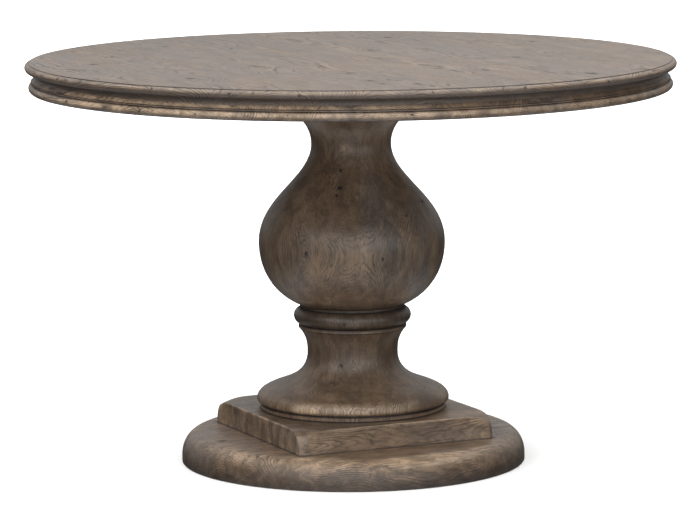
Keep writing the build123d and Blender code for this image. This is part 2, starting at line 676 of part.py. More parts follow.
def plinth_boards():
    """Square plinth of edge-glued boards, its four corners rolled down on the lathe."""
    block = slab(PLINTH_SIDE, PLINTH_SIDE, BASE_TOP, PLINTH_TOP)
    top_edges = block.edges().group_by(Axis.Z)[-1]
    block = fillet(top_edges, PLINTH_ARRIS_RADIUS)
    shoulder = CORNER_CLIP_RADIUS - CORNER_ROUND_REACH
    outline = Polyline((0, BASE_TOP), (CORNER_CLIP_RADIUS, BASE_TOP))
    outline += Bezier(
        (CORNER_CLIP_RADIUS, BASE_TOP),
        (CORNER_CLIP_RADIUS, BASE_TOP + CORNER_FULLNESS * PLINTH_THICKNESS),
        (shoulder + CORNER_FULLNESS * CORNER_ROUND_REACH, PLINTH_TOP),
        (shoulder, PLINTH_TOP),
    )
    outline += Polyline((shoulder, PLINTH_TOP), (0, PLINTH_TOP), (0, BASE_TOP))
    block &= revolved(outline)
    block -= cylinder(ROD_HOLE_RADIUS, BASE_TOP, PLINTH_TOP)
    block -= base_screw_holes() + dowel_holes(FOOT_DOWEL_CIRCLE, FOOT_DOWEL_SPAN)
    boards = {}
    for i in range(PLINTH_BOARD_COUNT):
        middle = PLINTH_BOARD_WIDTH * (i + 0.5 - PLINTH_BOARD_COUNT / 2)
        strip = slab(PLINTH_SIDE, PLINTH_BOARD_WIDTH, BASE_TOP, PLINTH_TOP, 0, middle)
        boards[f"plinth_board_{i + 1}"] = block & strip
    return boards


def leveller_pocket():
    """Stepped hole in the base for one levelling foot and its tee nut."""
    pocket = cylinder(LEVELLER_POCKET_RADIUS, -HOLE_SPARE, LEVELLER_POCKET_DEPTH)
    pocket += cylinder(TEE_NUT_BARREL_RADIUS + FIT, LEVELLER_POCKET_DEPTH, TEE_NUT_TOP)
    return pocket + cylinder(STEM_HOLE_RADIUS, TEE_NUT_TOP, STEM_TOP + STEM_HOLE_SPARE)


def base_boards():
    """Round base of edge-glued boards with a deep rounded edge."""
    shoulder = BASE_RADIUS - BASE_ROUND_REACH
    outline = Polyline(
        (0, 0),
        (BASE_RADIUS - BASE_EDGE_BREAK, 0),
        (BASE_RADIUS, BASE_EDGE_BREAK),
        (BASE_RADIUS, BASE_WALL_HEIGHT),
    )
    outline += EllipticalCenterArc(
        (shoulder, BASE_WALL_HEIGHT), BASE_ROUND_REACH, BASE_THICKNESS - BASE_WALL_HEIGHT, 0
    )
    outline += Polyline((shoulder, BASE_TOP), (0, BASE_TOP), (0, 0))
    disc = revolved(outline)
    disc -= cylinder(ROD_POCKET_RADIUS, 0, ROD_POCKET_DEPTH)
    disc -= cylinder(ROD_HOLE_RADIUS, 0, BASE_TOP)
    disc -= base_screw_holes()
    pocket = leveller_pocket()
    disc -= [Pos(x, y, 0) * pocket for x, y in leveller_places().values()]
    boards = {}
    for i in range(BASE_BOARD_COUNT):
        middle = BASE_BOARD_WIDTH * (i + 0.5 - BASE_BOARD_COUNT / 2)
        strip = slab(BASE_DIAMETER, BASE_BOARD_WIDTH, 0, BASE_TOP, 0, middle)
        boards[f"base_board_{i + 1}"] = disc & strip
    return boards


# ================================================================ the tie rod
def tie_rod_levels():
    """Levels of the two ends of the rod and of the faces its washers bear on."""
    lower_seat = ROD_POCKET_DEPTH
    upper_seat = BLOCK_UNDERSIDE - ROD_POCKET_DEPTH
    grip = ROD_WASHER_THICKNESS + ROD_NUT_HEIGHT + ROD_END_PROUD
    return lower_seat - grip, lower_seat, upper_seat, upper_seat + grip


def tie_rod():
    """Threaded steel rod that clamps base, plinth, column and head plate together."""
    bottom, _, _, top = tie_rod_levels()
    return cylinder(ROD_RADIUS, bottom, top)


def tie_rod_washers():
    _, lower_seat, upper_seat, _ = tie_rod_levels()
    lower_bottom = lower_seat - ROD_WASHER_THICKNESS
    upper_top = upper_seat + ROD_WASHER_THICKNESS
    spans = [(lower_bottom, lower_seat), (upper_seat, upper_top)]
    return [cylinder(ROD_WASHER_RADIUS, *span) - cylinder(ROD_RADIUS + FIT, *span) for span in spans]


def tie_rod_nuts():
    _, lower_seat, upper_seat, _ = tie_rod_levels()
    lower_top = lower_seat - ROD_WASHER_THICKNESS
    upper_bottom = upper_seat + ROD_WASHER_THICKNESS
    spans = [(lower_top - ROD_NUT_HEIGHT, lower_top), (upper_bottom, upper_bottom + ROD_NUT_HEIGHT)]
    return [hexagon(ROD_NUT_ACROSS_FLATS, *span) - cylinder(ROD_RADIUS + FIT, *span) for span in spans]


# ================================================================ the levelling feet
def tee_nuts():
    """Threaded tee nuts in the base, one for each levelling foot."""
    flange_bottom = LEVELLER_POCKET_DEPTH - TEE_NUT_FLANGE_THICKNESS
    nut = cylinder(TEE_NUT_FLANGE_RADIUS, flange_bottom, LEVELLER_POCKET_DEPTH)
    nut += cylinder(TEE_NUT_BARREL_RADIUS, LEVELLER_POCKET_DEPTH, TEE_NUT_TOP)
    nut -= cylinder(STEM_RADIUS + FIT, flange_bottom, TEE_NUT_TOP)
    return [Pos(x, y, 0) * nut for x, y in leveller_places().values()]


def leveller_pad():
    """Nylon pad that stands on the floor, with a socket in which the stem turns."""
    neck = STEM_NECK_RADIUS + FIT
    outline = Polyline(
        (0, 0),
        (PAD_RADIUS - PAD_EDGE_BREAK, 0),
        (PAD_RADIUS, PAD_EDGE_BREAK),
        (PAD_RADIUS, PAD_WALL_TOP),
        (PAD_CROWN_RADIUS, PAD_HEIGHT),
        (neck, PAD_HEIGHT),
        (neck, SOCKET_TOP),
        (SOCKET_RADIUS, SOCKET_TOP),
        (SOCKET_RADIUS, SOCKET_BOTTOM),
        (0, SOCKET_BOTTOM),
        close=True,
    )
    return revolved(outline)


def leveller_stem():
    """Threaded steel stem with a spanner hexagon and a flange held in the pad's socket."""
    stem = cylinder(STEM_FLANGE_RADIUS, STEM_FLANGE_BOTTOM, STEM_FLANGE_TOP)
    stem += cylinder(STEM_NECK_RADIUS, STEM_FLANGE_TOP, STEM_HEX_BOTTOM)
    stem += hexagon(STEM_HEX_ACROSS_FLATS, STEM_HEX_BOTTOM, STEM_HEX_TOP)
    return stem + cylinder(STEM_RADIUS, STEM_HEX_TOP, STEM_TOP)


# ================================================================ the whole table
def build_nodes():
    """Every piece of the table by name."""
    disc = moulded_disc()
    rim_screw = countersunk_screw(SMALL_SCREW, RIM_SCREW_HEAD_LEVEL, RIM_SCREW_TIP_LEVEL)
    block_screw = countersunk_screw(SMALL_SCREW, BLOCK_SCREW_HEAD_LEVEL, BLOCK_SCREW_TIP_LEVEL)
    base_screw = countersunk_screw(LARGE_SCREW, BASE_SCREW_HEAD_LEVEL, BASE_SCREW_TIP_LEVEL)
    nodes = {
        **top_boards(disc),
        **rim_segments(disc),
        "front_batten": batten(-BATTEN_OFFSET),
        "rear_batten": batten(BATTEN_OFFSET),
        "mounting_block": mounting_block(),
        "head_plate": head_plate(),
        "upper_turning": upper_turning(),
        "collar_ring": collar_ring(),
        "lower_turning": lower_turning(),
        **plinth_boards(),
        **base_boards(),
        "rim_screws": joined([Pos(x, y, 0) * rim_screw for x, y in rim_screw_places()]),
        "block_screws": joined([Pos(x, y, 0) * block_screw for x, y in block_screw_places()]),
        "base_screws": joined([Pos(x, y, 0) * base_screw for x, y in base_screw_places()]),
        "batten_screws": joined(batten_screws()),
        "batten_washers": joined(batten_washers()),
        "top_bolts": joined(top_bolts()),
        "top_bolt_washers": joined(top_bolt_washers()),
        "threaded_inserts": joined(threaded_inserts()),
        "head_dowels": joined(dowels(HEAD_DOWEL_CIRCLE, HEAD_DOWEL_SPAN)),
        "collar_dowels": joined(dowels(COLLAR_DOWEL_CIRCLE, COLLAR_DOWEL_SPAN)),
        "foot_dowels": joined(dowels(FOOT_DOWEL_CIRCLE, FOOT_DOWEL_SPAN)),
        "tie_rod": tie_rod(),
        "tie_rod_washers": joined(tie_rod_washers()),
        "tie_rod_nuts": joined(tie_rod_nuts()),
        "leveller_tee_nuts": joined(tee_nuts()),
    }
    for name, (x, y) in leveller_places().items():
        nodes[f"leveller_pad_{name}"] = Pos(x, y, 0) * leveller_pad()
        nodes[f"leveller_stem_{name}"] = Pos(x, y, 0) * leveller_stem()
    return nodes


os.makedirs("parts", exist_ok=True)
for node_name, shape in build_nodes().items():
    export_step(shape, f"parts/{node_name}.step")
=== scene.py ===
"""Camera, studio and procedural finishes of the round pedestal table."""

import json
import math
import random
from collections import namedtuple

import bpy
from mathutils import Matrix, Vector


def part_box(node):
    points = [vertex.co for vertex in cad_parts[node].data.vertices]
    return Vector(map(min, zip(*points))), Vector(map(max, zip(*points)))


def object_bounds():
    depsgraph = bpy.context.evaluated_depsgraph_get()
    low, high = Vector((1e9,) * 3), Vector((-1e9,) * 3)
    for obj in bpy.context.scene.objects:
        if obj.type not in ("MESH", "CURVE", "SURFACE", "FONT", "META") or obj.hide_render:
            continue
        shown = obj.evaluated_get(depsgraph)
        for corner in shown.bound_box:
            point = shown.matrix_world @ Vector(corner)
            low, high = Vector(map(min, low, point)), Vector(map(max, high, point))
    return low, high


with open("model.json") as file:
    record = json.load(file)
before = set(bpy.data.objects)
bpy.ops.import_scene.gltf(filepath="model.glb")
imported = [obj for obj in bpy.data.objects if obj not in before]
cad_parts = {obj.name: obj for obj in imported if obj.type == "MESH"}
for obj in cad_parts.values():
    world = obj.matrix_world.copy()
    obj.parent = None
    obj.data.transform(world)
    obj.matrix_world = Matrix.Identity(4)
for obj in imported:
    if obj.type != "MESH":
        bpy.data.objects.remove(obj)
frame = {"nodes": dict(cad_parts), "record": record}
CAD_LOW, CAD_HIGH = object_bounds()
NODES = frame["nodes"]
MM = 0.001

# ---------------------------------------------------------------- sizes of the table, in mm
TOP_RADIUS = CAD_HIGH.x / MM
TOP_LEVEL = CAD_HIGH.z / MM
BASE_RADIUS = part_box("base_board_3")[1].x / MM
BASE_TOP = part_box("base_board_3")[1].z / MM
PLINTH_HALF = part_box("plinth_board_2")[1].x / MM
PLINTH_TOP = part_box("plinth_board_2")[1].z / MM

TOP_BOARDS, RIM_SEGMENTS, PLINTH_BOARDS, BASE_BOARDS = 8, 8, 4, 5
TOP_BOARD_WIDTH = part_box("top_board_2")[1].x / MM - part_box("top_board_2")[0].x / MM
PLINTH_BOARD_WIDTH = 2 * PLINTH_HALF / PLINTH_BOARDS
BASE_BOARD_WIDTH = 2 * BASE_RADIUS / BASE_BOARDS

# how far the camera stands round from the plinth's front
VIEW_TURN = math.radians(-24.97)


# ================================================================ node graphs
class Wire:
    """A value that comes out of a node, with the sums that can be done on it."""

    def __init__(self, graph, socket):
        self.graph = graph
        self.socket = socket

    def __add__(self, other):
        return self.graph.math("ADD", self, other)

    def __sub__(self, other):
        return self.graph.math("SUBTRACT", self, other)

    def __rsub__(self, other):
        return self.graph.math("SUBTRACT", other, self)

    def __mul__(self, other):
        return self.graph.math("MULTIPLY", self, other)

    def __truediv__(self, other):
        return self.graph.math("DIVIDE", self, other)

    __radd__ = __add__
    __rmul__ = __mul__


# sockets of a Mix node that mixes colours
MIX_FACTOR, MIX_A, MIX_B, MIX_RESULT = 0, 6, 7, 2


class Graph:
    """Adds nodes to a tree. What it returns is a Wire: a number, vector or colour."""

    def __init__(self, tree):
        self.tree = tree

    def node(self, kind, inputs=None, **settings):
        made = self.tree.nodes.new(kind)
        for key, value in settings.items():
            setattr(made, key, value)
        for key, value in (inputs or {}).items():
            self.feed(made.inputs[key], value)
        return made

    def feed(self, socket, value):
        if isinstance(value, Wire):
            self.tree.links.new(value.socket, socket)
        else:
            socket.default_value = value

    def out(self, made, key=0):
        return Wire(self, made.outputs[key])

    def math(self, operation, a, b=0.0):
        return self.out(self.node("ShaderNodeMath", {0: a, 1: b}, operation=operation))

    def larger(self, a, b):
        return self.math("MAXIMUM", a, b)

    def smaller(self, a, b):
        return self.math("MINIMUM", a, b)

    def absolute(self, a):
        return self.math("ABSOLUTE", a)

    def vector(self, operation, a, b=(0, 0, 0), c=(0, 0, 0)):
        made = self.node("ShaderNodeVectorMath", {0: a, 1: b, 2: c}, operation=operation)
        return self.out(made)

    def scaled(self, place, x, y=None, z=None):
        """The place times one number, or times one for each axis."""
        return self.vector("MULTIPLY", place, (x, x if y is None else y, x if z is None else z))

    def length(self, a):
        return self.out(self.node("ShaderNodeVectorMath", {0: a}, operation="LENGTH"), "Value")

    def split(self, a):
        made = self.node("ShaderNodeSeparateXYZ", {0: a})
        return [self.out(made, i) for i in range(3)]

    def join(self, x, y, z):
        return self.out(self.node("ShaderNodeCombineXYZ", {0: x, 1: y, 2: z}))

    def radius(self, x, y):
        return self.length(self.join(x, y, 0.0))

    def smooth(self, value, low, high, to_low=0.0, to_high=1.0):
        """A soft step from to_low, where the value is low, to to_high, where it is high."""
        inputs = {
            "Value": value,
            "From Min": low,
            "From Max": high,
            "To Min": to_low,
            "To Max": to_high,
        }
        return self.out(self.node("ShaderNodeMapRange", inputs, interpolation_type="SMOOTHSTEP"))

    def rise(self, value, edge):
        """0 before a soft edge, given as its two ends in rising order, and 1 after it."""
        return self.smooth(value, edge[0], edge[1])

    def fall(self, value, edge):
        """1 before a soft edge and 0 after it."""
        return self.smooth(value, edge[1], edge[0])

    def band(self, value, middle, half_width):
        """1 at the middle, falling softly to 0 at the half width."""
        return self.smooth(self.absolute(value - middle), 0.0, half_width, 1.0, 0.0)

    def noise(self, place, detail=2.0, roughness=0.5, distortion=0.0, colour=False):
        inputs = {
            "Vector": place,
            "Scale": 1.0,
            "Detail": detail,
            "Roughness": roughness,
            "Distortion": distortion,
        }
        made = self.node("ShaderNodeTexNoise", inputs)
        return self.out(made, 1 if colour else 0)

    def random(self, place, colour=False):
        made = self.node("ShaderNodeTexWhiteNoise", {"Vector": place}, noise_dimensions="3D")
        return self.out(made, 1 if colour else 0)

    def mix(self, factor, a, b):
        inputs = {MIX_FACTOR: factor, MIX_A: a, MIX_B: b}
        return self.out(self.node("ShaderNodeMix", inputs, data_type="RGBA"), MIX_RESULT)


def rgba(red, green, blue):
    return (red, green, blue, 1.0)


# ================================================================ oak
OAK_INPUTS = {
    "Place": "NodeSocketVector",
    "Seed": "NodeSocketFloat",
    "Spacing": "NodeSocketFloat",
    "Bend": "NodeSocketFloat",
    "Knot": "NodeSocketFloat",
    # the next two: pale worn wood that is partly painted highlight, then painted shade
    "Wear And Highlight": "NodeSocketFloat",
    "Painted Shade": "NodeSocketFloat",
    "Tone": "NodeSocketFloat",
    "Warmth": "NodeSocketFloat",
    "Contrast": "NodeSocketFloat",
    "Mottle": "NodeSocketFloat",
}
OAK_OUTPUTS = {
    "Colour": "NodeSocketColor",
    "Roughness": "NodeSocketFloat",
    "Height": "NodeSocketFloat",
}

GREY_OAK = rgba(0.098, 0.077, 0.064)
BROWN_OAK = rgba(0.122, 0.080, 0.049)
PALE_OAK = rgba(0.205, 0.145, 0.095)
DEEP_OAK = rgba(0.052, 0.036, 0.026)
DARK_OAK = rgba(0.022, 0.016, 0.013)
# near-black of knots, also used for painted shade
KNOT_AND_SHADE_OAK = rgba(0.009, 0.007, 0.008)
# pale worn wood, also used for painted highlight
WORN_AND_HIGHLIT_OAK = rgba(0.335, 0.243, 0.162)
OAK_POLISH = 0.43
PLAIN_POLISH = 0.5

# noise cells across and along the grain, in mm
WANDER_CELL = (95.0, 380.0)
RIPPLE_CELL = (22.0, 70.0)
STAIN_CELL = (110.0, 260.0)
PATCH_CELL = (34.0, 90.0)
FIBRE_CELL = (3.4, 130.0)
PORE_CELL = (1.4, 13.0)
SHOWN_CELL = (42.0, 110.0)
BLOTCH_CELL = (21.0, 46.0)

PITH_WANDER = 50.0
RING_RIPPLE = 9.0
# the dark early wood at the start and at the end of each ring, as parts of the ring
EARLY_END = (0.03, 0.38)
EARLY_START = (0.86, 1.0)


def stretched(g, place, cell, offset):
    """The place scaled so that one noise cell is this many mm across and along the grain."""
    across, along = cell
    size = (1.0 / across, 1.0 / across, 1.0 / along)
    return g.vector("MULTIPLY_ADD", place, size, offset)


def oak_group():
    """Solid oak: Place is in mm with the grain along Z and the pith near X = Y = 0."""
    tree = bpy.data.node_groups.new("Oak", "ShaderNodeTree")
    for name, kind in OAK_INPUTS.items():
        tree.interface.new_socket(name=name, in_out="INPUT", socket_type=kind)
    for name, kind in OAK_OUTPUTS.items():
        tree.interface.new_socket(name=name, in_out="OUTPUT", socket_type=kind)
    g = Graph(tree)
    given = g.node("NodeGroupInput")
    place, seed, spacing, bend, knot, wear_and_highlight, painted_shade, tone, warmth, contrast, mottle = [
        g.out(given, name) for name in OAK_INPUTS
    ]
    offset = g.vector("MULTIPLY", g.join(seed, seed, seed), (1.0, 1.7, 2.3))

    # growth rings round a wandering pith
    wander = g.noise(stretched(g, place, WANDER_CELL, offset), 2.0, 0.5, colour=True)
    ripple = g.noise(stretched(g, place, RIPPLE_CELL, offset), 3.0, 0.55)
    centred = g.vector("SUBTRACT", wander, (0.5, 0.5, 0.5))
    drift = g.scaled(centred, PITH_WANDER, PITH_WANDER, 0.0)
    x, y, z = g.split(g.vector("ADD", place, drift))
    ring_place = (g.radius(x, y) + (ripple - 0.5) * RING_RIPPLE + bend) / spacing
    ring = g.math("FRACT", ring_place)
    ring_number = g.math("FLOOR", ring_place)
    ring_draw = g.random(g.join(ring_number, seed, 0.0))
    early = g.larger(g.smooth(ring, *EARLY_END, 1.0, 0.0), g.rise(ring, EARLY_START))

    # stain, fibres and pores
    stain = g.noise(stretched(g, place, STAIN_CELL, offset), 3.0, 0.55, 0.4)
    patch = g.noise(stretched(g, place, PATCH_CELL, offset), 3.0, 0.55)
    fibre = g.noise(stretched(g, place, FIBRE_CELL, offset), 3.0, 0.6)
    early = early * (0.30 + ring_draw * 0.55 + g.smooth(patch, 0.35, 0.65) * 0.15)
    pores = g.noise(stretched(g, place, PORE_CELL, offset), 1.0, 0.5)
    pores = g.smooth(pores, 0.52, 0.70) * (0.25 + early * 0.75)

    # hue, from grey to brown, with pale and deep patches in it
    varied = g.smaller(mottle * 1.6 + 0.28, 1.0)
    brown = (g.smooth(stain + (warmth - 0.5), 0.34, 0.66) - warmth) * varied + warmth
    colour = g.mix(brown, GREY_OAK, BROWN_OAK)
    streak = patch * 0.9 + fibre * 0.7 + ring_draw * 0.2 - 0.40
    colour = g.mix(g.smooth(streak, 0.46, 0.82) * varied * 0.62, colour, PALE_OAK)
    colour = g.mix(g.smooth(streak, 0.50, 0.16) * 0.75, colour, DEEP_OAK)

    # dark ring lines and pores, which show more in some places, then worn wood with painted
    # highlight, knots and painted shade
    shown = g.noise(stretched(g, place, SHOWN_CELL, offset), 1.0, 0.5)
    shown = g.smooth(shown, 0.42, 0.60, 0.45, 1.0)
    lines = g.larger(early * shown, pores * 0.94)
    shade = g.smaller(lines * contrast, 1.0)
    colour = g.mix(shade, colour, DARK_OAK)
    # worn pale wood, partly painted highlight
    bare_and_highlit = wear_and_highlight * g.smooth(fibre, 0.25, 0.65, 0.5, 1.0) * (1.0 - shade * 0.9)
    colour = g.mix(bare_and_highlit, colour, WORN_AND_HIGHLIT_OAK)
    colour = g.mix(knot, colour, KNOT_AND_SHADE_OAK)
    # painted shade, darkening the colour towards near-black
    colour = g.mix(painted_shade, colour, KNOT_AND_SHADE_OAK)

    # blotches of light and dark, and the piece's tone, which on some pieces holds painted light
    # and shade
    elsewhere = g.vector("ADD", offset, (5.0, 9.0, 2.0))
    blotch = g.noise(stretched(g, place, BLOTCH_CELL, elsewhere), 6.0, 0.68, 0.9)
    value = ((g.smooth(blotch, 0.38, 0.62) - 0.5) * mottle + 1.0) * tone
    colour = g.vector("MULTIPLY", colour, g.join(value, value, value))

    roughness = 0.38 + shade * 0.26 + (patch - 0.5) * 0.22 + painted_shade * 0.3 + knot * 0.4
    height = (fibre - 0.5) * 0.12 - pores * 0.24 - early * 0.10 - knot * 0.25

    end = g.node("NodeGroupOutput")
    g.feed(end.inputs["Colour"], colour)
    g.feed(end.inputs["Roughness"], roughness)
    g.feed(end.inputs["Height"], height)
    return tree


OAK = oak_group()


def new_material(name):
    material = bpy.data.materials.new(name)
    material.use_nodes = True
    material.node_tree.nodes.clear()
    return material, Graph(material.node_tree)


def surface(g, colour, roughness, height, metallic=0.0, polish=PLAIN_POLISH):
    """Principled surface with a bump, whose height is in mm."""
    bump = g.node("ShaderNodeBump", {"Strength": 1.0, "Distance": MM, "Height": height})
    inputs = {
        "Base Color": colour,
        "Roughness": roughness,
        "Metallic": metallic,
        "Specular IOR Level": polish,
        "Normal": g.out(bump),
    }
    shader = g.node("ShaderNodeBsdfPrincipled", inputs)
    end = g.node("ShaderNodeOutputMaterial")
    g.feed(end.inputs["Surface"], g.out(shader))


def in_mm(g):
    """Place on the table, in mm."""
    place = g.out(g.node("ShaderNodeTexCoord"), "Object")
    return g.scaled(place, 1.0 / MM)


KNOT_HALO = 0.22
KNOT_REACH = 4.5
KNOT_PULL = 1.3


def knot_marks(g, place, knots):
    """(dark core, bend of the rings in mm) of knots.

    A knot is (x, y, z, radius, stretch along x, y, z, darkness).
    """
    core, bend = 0.0, 0.0
    for x, y, z, radius, *stretch, darkness in knots:
        scale = [1.0 / (radius * s) for s in stretch]
        near = g.vector("MULTIPLY", g.vector("SUBTRACT", place, (x, y, z)), scale)
        distance = g.length(near)
        halo = g.smooth(distance, 0.5, 2.6, KNOT_HALO * darkness, 0.0)
        mark = g.smooth(distance, 0.25, 1.0, darkness, 0.0) + halo
        pull = g.smooth(distance, 0.0, KNOT_REACH, 1.0, 0.0)
        core = mark if isinstance(core, float) else g.larger(core, mark)
        bend = pull * (radius * KNOT_PULL) + bend
    return core, bend


def at_place(setting, g, x, y, z):
    """A setting of a finish is a number, or a function of the place in mm."""
    return setting(g, x, y, z) if callable(setting) else setting


def oak_material(
    name, grain, seed, spacing,
    knots=(), wear_and_highlight=0.0, painted_shade=0.0, tone=1.0, warmth=0.5, contrast=1.0, mottle=0.45,
):
    """Oak whose grain(g, x, y, z) gives a Cut. Wear with painted highlight, painted shade and
    contrast may be masks.
    """
    material, g = new_material(name)
    place = in_mm(g)
    here = (g, *g.split(place))
    core, bend = knot_marks(g, place, knots)
    if isinstance(core, Wire):
        ragged = g.noise(g.scaled(place, 0.30), 2.0, 0.6)
        core = g.smaller(core * g.smooth(ragged, 0.36, 0.60, 0.25, 1.25), 1.0)
    cut = grain(*here)
    oak_inputs = {
        "Place": cut.place,
        "Seed": seed,
        "Spacing": spacing,
        "Bend": bend,
        "Knot": core,
        "Wear And Highlight": at_place(wear_and_highlight, *here),
        "Painted Shade": at_place(painted_shade, *here),
        "Tone": at_place(tone, *here) if cut.tone is None else cut.tone * tone,
        "Warmth": warmth if cut.warmth is None else cut.warmth,
        "Contrast": at_place(contrast, *here),
        "Mottle": mottle,
    }
    oak = g.node("ShaderNodeGroup", node_tree=OAK)
    for key, value in oak_inputs.items():
        g.feed(oak.inputs[key], value)
    look = [g.out(oak, name) for name in OAK_OUTPUTS]
    surface(g, *look, polish=OAK_POLISH)
    return material


def paint(node, material):
    for slot in NODES[node].material_slots:
        slot.material = material


# ---------------------------------------------------------------- grain directions
# where a point lies in its tree, and its block's tone and warmth where a piece has several blocks
Cut = namedtuple("Cut", "place tone warmth", defaults=(None, None))


def along_y(pith_x, pith_z, shift):
    """Boards of the top and its rim: grain along Y, pith under the board."""
    return lambda g, x, y, z: Cut(g.join(x - pith_x, z - pith_z, y + shift))


def along_x(pith_y, pith_z, shift):
    """Boards of the plinth, base and battens: grain along X."""
    return lambda g, x, y, z: Cut(g.join(y - pith_y, z - pith_z, x + shift))


# blocks of the column: thickness of a layer and place of a joint, width of a block, distance of
# its pith, and how far its place in the tree varies
COLUMN_LAYER, COLUMN_JOINT = 42.4, 25.6
COLUMN_BLOCK = 150.0
COLUMN_PITH = 120.0
COLUMN_SHIFTS = (14.0, 9.0, 22.0)


def glued_column(g, x, y, z):
    """Upright blocks glued side by side, each from another tree: grain along Z."""
    u, v = rightward(x, y), backward(x, y)
    row = g.math("FLOOR", (u + COLUMN_JOINT) / COLUMN_LAYER)
    row_draw = g.random(g.join(row, 3.0, 0.0))
    block = g.math("FLOOR", v / COLUMN_BLOCK + row_draw)
    draw_a, draw_b, draw_c = g.split(g.random(g.join(row, block, 7.0), colour=True))
    shift_u, shift_v, shift_z = COLUMN_SHIFTS
    shifted_u = u + (draw_a - 0.5) * shift_u
    shifted_v = v + COLUMN_PITH + (draw_b - 0.5) * shift_v
    place = g.join(shifted_u, shifted_v, z + draw_c * shift_z)
    # each block's own tone, times the column's painted light and shade by height
    tone = (0.80 + draw_a * 0.42) * column_painted_light_and_shade(g, z)
    warmth = 0.50 + draw_b * 0.32 + g.fall(z, (285.0, 340.0)) * 0.36
    return Cut(place, tone, warmth)


# ---------------------------------------------------------------- places as the room has them
def turned(x, y):
    """A place given to the right and to the back in the room, in the table's own axes."""
    c, s = math.cos(VIEW_TURN), math.sin(VIEW_TURN)
    return (x * c - y * s, x * s + y * c)


def rightward(x, y):
    """How far a place in the table's axes is to the room's right."""
    return x * math.cos(VIEW_TURN) + y * math.sin(VIEW_TURN)


def backward(x, y):
    """How far it is to the room's back."""
    return y * math.cos(VIEW_TURN) - x * math.sin(VIEW_TURN)


def facing(g, x, y, edge):
    """1 at the front and at the back of the table, and 0 on its sides."""
    return g.rise(g.absolute(backward(x, y)), edge)


def rubbing(g, x, y, z, scale, edge, least, most, roughness=0.5):
    """Clouds of uneven rubbing, between two amounts."""
    cloud = g.noise(g.scaled(g.join(x, y, z), scale), 2.0, roughness)
    return g.smooth(cloud, *edge, least, most)


def board_middle(index, count, width):
    """Where the middle of a board lies across its row of boards."""
    return (index - (count - 1) / 2) * width


draw = random.Random(11)


def any_shift():
    """A length along the trunk, so that boards aren't cut from one place."""
    return draw.uniform(0, 4000)


def any_seed():
    return draw.uniform(0, 90)


# ---------------------------------------------------------------- pin knots of the moulded edge
# (right, back, level) of those that can be made out
SEEN_SPOTS = [
    (-348, -499, 757), (-169, -584, 757), (-88, -603, 754),
    (-322, -495, 734), (-271, -538, 716), (-108, -592, 719),
]
SPREAD_SPOTS = 26
SPOT_LEVELS = (757, 716, 755, 731, 718)
SPOT_RADII = (608, 602, 609, 592, 602)
SPOT_RADIUS = 3.4
SPOT_DARKNESS = 0.9
# the spots above the split are on the boards, the others on the rim
SPOTS_BOTTOM, SPOTS_SPLIT = 700.0, 740.0


def spread_spots():
    """More pin knots, unevenly all round the edge."""
    for spot in range(SPREAD_SPOTS):
        swing = 9.0 * math.sin(spot * 2.4)
        angle = math.radians(-60.0 + 360.0 * spot / SPREAD_SPOTS + swing)
        radius = SPOT_RADII[spot % len(SPOT_RADII)]
        level = SPOT_LEVELS[spot % len(SPOT_LEVELS)]
        yield radius * math.cos(angle), radius * math.sin(angle), level


EDGE_SPOTS = [*SEEN_SPOTS, *spread_spots()]


def edge_knots(low, high, inside):
    """The pin knots of one board or segment, between two levels."""
    knots = []
    for sx, sy, level in EDGE_SPOTS:
        px, py = turned(sx, sy)
        if low < level < high and inside(px, py):
            knots.append((px, py, level, SPOT_RADIUS, 1.0, 1.0, 1.0, SPOT_DARKNESS))
    return knots


# ---------------------------------------------------------------- the top
# (right, back, radius) of the knots on the flat of the top
TOP_KNOTS = [
    (75, 440, 9), (40, 160, 8), (310, 0, 8), (-175, -150, 8), (-475, -90, 9), (-285, -370, 10),
    (-360, 270, 7), (245, -250, 8), (35, -435, 8), (55, -490, 7), (430, -330, 9), (355, 330, 7),
]
TOP_KNOT_STRETCH = (1.2, 2.0, 1.6)
TOP_KNOT_DARKNESS = 0.75

FIELD_RADIUS = TOP_RADIUS - 8.6
BEAD_MIDDLE = 753.2
STEP_FOOT = (757.0, 759.5)
COVE_FOOT = (730.0, 741.0)
COVE_HEAD = (746.0, 757.0)
COVE_INSIDE = (578.0, 586.0)


def edge_contrast(g, x, y, z):
    """The grain stands out on the moulded edge and is faint on the flat of the top."""
    return g.smooth(g.radius(x, y), FIELD_RADIUS - 1.0, FIELD_RADIUS + 2.0, 0.92, 1.30)


def top_wear_and_highlight(g, x, y, z):
    """The crest of the upper bead is rubbed pale, partly painted highlight, which makes it palest
    at the front and the back.
    """
    r = g.radius(x, y)
    crest = g.rise(r, (FIELD_RADIUS + 1.5, TOP_RADIUS - 1.5))
    crest = crest * g.rise(z, (BEAD_MIDDLE, BEAD_MIDDLE + 4.0))
    crest = crest * (0.25 + facing(g, x, y, (120.0, 440.0)) * 0.75)
    return crest * rubbing(g, x, y, z, 0.02, (0.34, 0.60), 0.05, 0.47)


def cove_painted_shade(g, z, r):
    """Painted shade in the cove of the edge and under its upper bead."""
    return g.rise(z, COVE_FOOT) * g.fall(z, COVE_HEAD) * g.rise(r, COVE_INSIDE) * 0.50


def top_painted_shade(g, x, y, z):
    """Painted shadow along the step round the flat of the top, and painted shade in the cove."""
    r = g.radius(x, y)
    step_shadow = g.band(r, FIELD_RADIUS + 0.8, 1.8) * g.rise(z, STEP_FOOT)
    step_shadow = step_shadow * (0.15 + facing(g, x, y, (120.0, 420.0)) * 0.60)
    return g.larger(step_shadow, cove_painted_shade(g, z, r))


